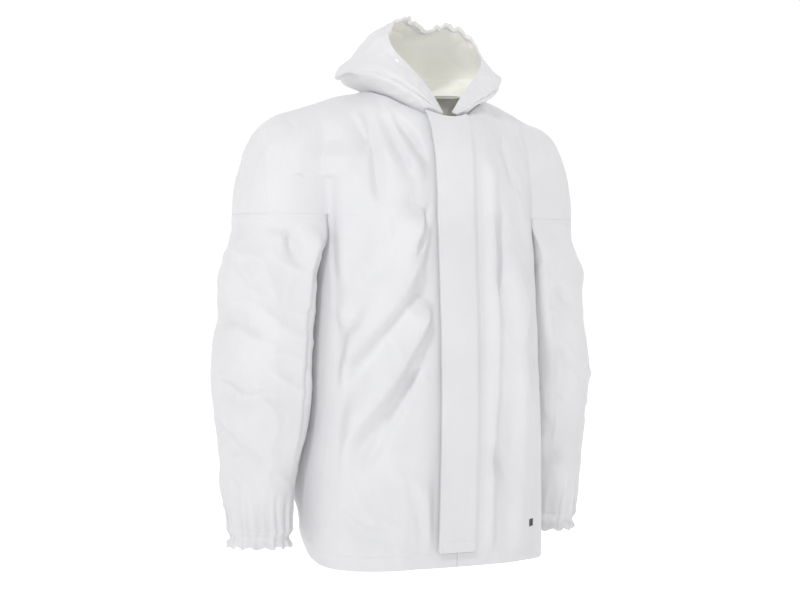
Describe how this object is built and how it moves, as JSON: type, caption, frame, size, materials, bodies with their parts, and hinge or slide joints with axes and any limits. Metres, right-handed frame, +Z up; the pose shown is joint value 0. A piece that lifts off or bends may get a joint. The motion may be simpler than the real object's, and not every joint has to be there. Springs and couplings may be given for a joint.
{
  "type": "hooded protective jacket",
  "caption": "Hooded jacket of white coated cloth with a straight storm flap over the front closure, drop shoulders and gathered cuffs.",
  "frame": {"origin": "middle of the neck base between the shoulders, where the jacket hangs when it is worn", "axes": "+Z up along the body, -Y out of the front closure, +X to the wearer's left"},
  "size_m": [0.691, 0.2958, 0.8778],
  "materials": {
    "coated_cloth": "semi-matt coated",
    "lining": "matt",
    "elastic": "matt",
    "stud": "satin",
    "label": "matt",
    "print": "matt"
  },
  "bodies": {
    "torso": {"back_panel": "coated_cloth", "back_yoke": "coated_cloth", "right_front_panel": "coated_cloth", "left_front_panel": "coated_cloth", "right_front_facing": "lining", "left_front_facing": "lining", "right_front_hem_fold": "lining", "left_front_hem_fold": "lining", "back_hem_fold": "lining", "neck_tape": "lining", "hanger_loop": "elastic", "neck_label": "label", "hem_print_patch": "print", "front_stud_post_1": "stud", "front_stud_post_2": "stud", "front_stud_post_3": "stud", "front_stud_post_4": "stud", "front_stud_post_5": "stud"},
    "storm_flap": {"storm_flap_inner": "lining", "storm_flap_outer": "coated_cloth", "flap_stud_socket_1": "stud", "flap_stud_socket_2": "stud", "flap_stud_socket_3": "stud", "flap_stud_socket_4": "stud", "flap_stud_socket_5": "stud"},
    "hood": {"hood_right_side": "coated_cloth", "hood_left_side": "coated_cloth", "hood_face_casing": "coated_cloth", "hood_face_elastic": "elastic", "hood_stud_socket": "stud", "hood_stud_post": "stud"},
    "right_upper_arm": {"right_sleeve_head": "coated_cloth", "right_upper_sleeve": "coated_cloth", "right_elbow_sleeve": "coated_cloth"},
    "right_forearm": {"right_lower_sleeve": "coated_cloth", "right_cuff_casing": "coated_cloth", "right_cuff_elastic": "elastic"},
    "left_upper_arm": {"left_sleeve_head": "coated_cloth", "left_upper_sleeve": "coated_cloth", "left_elbow_sleeve": "coated_cloth"},
    "left_forearm": {"left_lower_sleeve": "coated_cloth", "left_cuff_casing": "coated_cloth", "left_cuff_elastic": "elastic"}
  },
  "joints": [
    {"name": "storm_flap_open", "type": "hinge", "parent": "torso", "child": "storm_flap", "pos_m": [0.04, -0.1785, -0.42], "axis": [0, 0, 1], "range_deg": [0, 100]},
    {"name": "hood_tip_back", "type": "hinge", "parent": "torso", "child": "hood", "pos_m": [0, 0.064, 0.022], "axis": [-1, 0, 0], "range_deg": [0, 30]},
    {"name": "right_shoulder_lift", "type": "hinge", "parent": "torso", "child": "right_upper_arm", "pos_m": [-0.225, -0.009, -0.2], "axis": [0, 1, 0], "range_deg": [0, 50], "deforming": ["right_sleeve_head"]},
    {"name": "left_shoulder_lift", "type": "hinge", "parent": "torso", "child": "left_upper_arm", "pos_m": [0.225, -0.009, -0.2], "axis": [0, -1, 0], "range_deg": [0, 50], "deforming": ["left_sleeve_head"]},
    {"name": "right_elbow_bend", "type": "hinge", "parent": "right_upper_arm", "child": "right_forearm", "pos_m": [-0.277, -0.004, -0.455], "axis": [-1, 0, 0], "range_deg": [0, 60], "deforming": ["right_elbow_sleeve"]},
    {"name": "left_elbow_bend", "type": "hinge", "parent": "left_upper_arm", "child": "left_forearm", "pos_m": [0.277, -0.004, -0.455], "axis": [-1, 0, 0], "range_deg": [0, 60], "deforming": ["left_elbow_sleeve"]}
  ]
}
